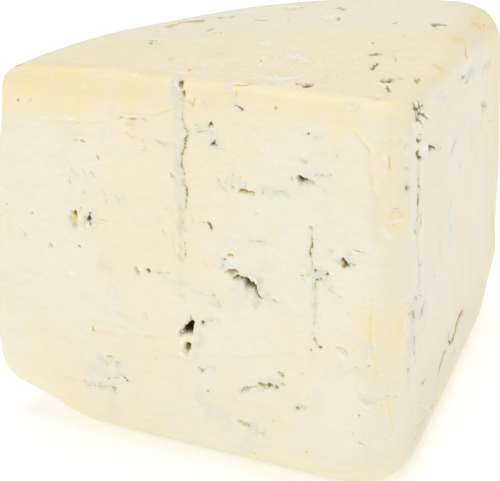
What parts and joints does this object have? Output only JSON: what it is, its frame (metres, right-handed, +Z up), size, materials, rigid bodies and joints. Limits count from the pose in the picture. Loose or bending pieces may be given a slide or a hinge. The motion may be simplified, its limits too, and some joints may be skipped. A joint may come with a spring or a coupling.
{
  "type": "blue cheese wedge",
  "caption": "Tall quarter wedge cut from a small blue-veined cheese wheel, with two pitted and needle-tracked cut faces and rounded, waxy edges, resting on its flat base.",
  "frame": {"origin": "on the surface that the piece stands on, below the centre of its box", "axes": "+Z up; -Y towards the rounded corner between the two cut faces; +Y towards the curved rind; +X across, from the left cut face's outer end to the right one's"},
  "size_m": [0.1448, 0.099, 0.0937],
  "materials": {
    "paste": "moist satin cream paste with blue-green mould in its pits and needle tracks"
  },
  "bodies": {
    "root": {"cheese_wedge": "paste"}
  },
  "joints": []
}
